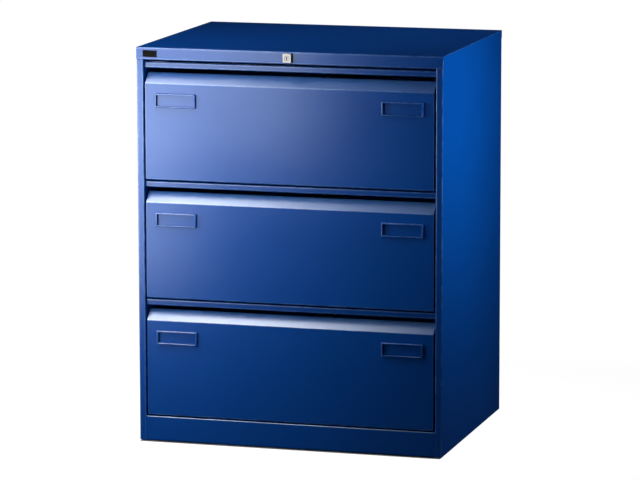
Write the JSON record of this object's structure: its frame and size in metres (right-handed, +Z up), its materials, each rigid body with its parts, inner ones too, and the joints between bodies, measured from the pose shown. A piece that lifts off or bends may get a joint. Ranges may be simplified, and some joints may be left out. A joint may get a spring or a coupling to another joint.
{
  "type": "lateral filing cabinet",
  "caption": "Free-standing steel lateral filing cabinet with full-width drawers on telescopic slides, slanted finger lips, label holders and a central lock.",
  "frame": {"origin": "on the floor under the middle of the cabinet's box", "axes": "+X to the right seen from the front, +Y to the back, +Z up; the drawers open towards -Y"},
  "size_m": [0.8, 0.6334, 1.016],
  "materials": {
    "blue_paint": "satin stoved paint",
    "zinc_steel": "bright zinc plate",
    "lock_nickel": "satin nickel",
    "black_plastic": "satin"
  },
  "bodies": {
    "carcass": {"left_side_panel": "blue_paint", "right_side_panel": "blue_paint", "top_panel": "blue_paint", "back_panel": "blue_paint", "base_panel": "blue_paint", "plinth": "blue_paint", "cross_rail_lower": "blue_paint", "cross_rail_middle": "blue_paint", "cross_rail_upper": "blue_paint", "outer_slide_lower_left": "zinc_steel", "outer_slide_lower_right": "zinc_steel", "outer_slide_middle_left": "zinc_steel", "outer_slide_middle_right": "zinc_steel", "outer_slide_upper_left": "zinc_steel", "outer_slide_upper_right": "zinc_steel", "foot_front_left": "zinc_steel", "foot_front_right": "zinc_steel", "foot_rear_left": "zinc_steel", "foot_rear_right": "zinc_steel", "lock_housing": "lock_nickel", "badge_plate": "black_plastic", "lock_bar_guide": "zinc_steel", "transfer_bar_hanger": "zinc_steel"},
    "lock": {"lock_plug": "lock_nickel", "lock_cam": "zinc_steel"},
    "transfer": {"transfer_bar": "zinc_steel"},
    "locking_strip": {"lock_bar": "zinc_steel"},
    "drawer_lower": {"drawer_front_lower": "blue_paint", "inner_front_lower": "blue_paint", "drawer_tray_lower": "blue_paint", "file_rail_lower": "zinc_steel", "lock_catch_lower": "zinc_steel", "label_holder_lower_left": "blue_paint", "label_holder_lower_right": "blue_paint", "inner_slide_lower_left": "zinc_steel", "inner_slide_lower_right": "zinc_steel"},
    "slides_lower": {"middle_slide_lower_left": "zinc_steel", "middle_slide_lower_right": "zinc_steel"},
    "drawer_middle": {"drawer_front_middle": "blue_paint", "inner_front_middle": "blue_paint", "drawer_tray_middle": "blue_paint", "file_rail_middle": "zinc_steel", "lock_catch_middle": "zinc_steel", "label_holder_middle_left": "blue_paint", "label_holder_middle_right": "blue_paint", "inner_slide_middle_left": "zinc_steel", "inner_slide_middle_right": "zinc_steel"},
    "slides_middle": {"middle_slide_middle_left": "zinc_steel", "middle_slide_middle_right": "zinc_steel"},
    "drawer_upper": {"drawer_front_upper": "blue_paint", "inner_front_upper": "blue_paint", "drawer_tray_upper": "blue_paint", "file_rail_upper": "zinc_steel", "lock_catch_upper": "zinc_steel", "label_holder_upper_left": "blue_paint", "label_holder_upper_right": "blue_paint", "inner_slide_upper_left": "zinc_steel", "inner_slide_upper_right": "zinc_steel"},
    "slides_upper": {"middle_slide_upper_left": "zinc_steel", "middle_slide_upper_right": "zinc_steel"}
  },
  "joints": [
    {"name": "lock_turn", "type": "hinge", "parent": "carcass", "child": "lock", "pos_m": [0, -0.30535, 1.0003], "axis": [0, 1, 0], "range_deg": [0, 90]},
    {"name": "transfer_travel", "type": "slide", "parent": "carcass", "child": "transfer", "axis": [-1, 0, 0], "range_m": [0, 0.0142]},
    {"name": "strip_lift", "type": "slide", "parent": "carcass", "child": "locking_strip", "axis": [0, 0, 1], "range_m": [0, 0.01414]},
    {"name": "drawer_lower_travel", "type": "slide", "parent": "carcass", "child": "drawer_lower", "axis": [0, -1, 0], "range_m": [0, 0.53]},
    {"name": "slides_lower_travel", "type": "slide", "parent": "carcass", "child": "slides_lower", "axis": [0, -1, 0], "range_m": [0, 0.266]},
    {"name": "drawer_middle_travel", "type": "slide", "parent": "carcass", "child": "drawer_middle", "axis": [0, -1, 0], "range_m": [0, 0.53]},
    {"name": "slides_middle_travel", "type": "slide", "parent": "carcass", "child": "slides_middle", "axis": [0, -1, 0], "range_m": [0, 0.266]},
    {"name": "drawer_upper_travel", "type": "slide", "parent": "carcass", "child": "drawer_upper", "axis": [0, -1, 0], "range_m": [0, 0.53]},
    {"name": "slides_upper_travel", "type": "slide", "parent": "carcass", "child": "slides_upper", "axis": [0, -1, 0], "range_m": [0, 0.266]}
  ],
  "couplings": [
    {"joint": "transfer_travel", "follows": "strip_lift", "ratio": 1},
    {"joint": "lock_turn", "follows": "strip_lift", "rad_per_m": 111.07},
    {"joint": "slides_lower_travel", "follows": "drawer_lower_travel", "ratio": 0.5},
    {"joint": "slides_middle_travel", "follows": "drawer_middle_travel", "ratio": 0.5},
    {"joint": "slides_upper_travel", "follows": "drawer_upper_travel", "ratio": 0.5}
  ]
}
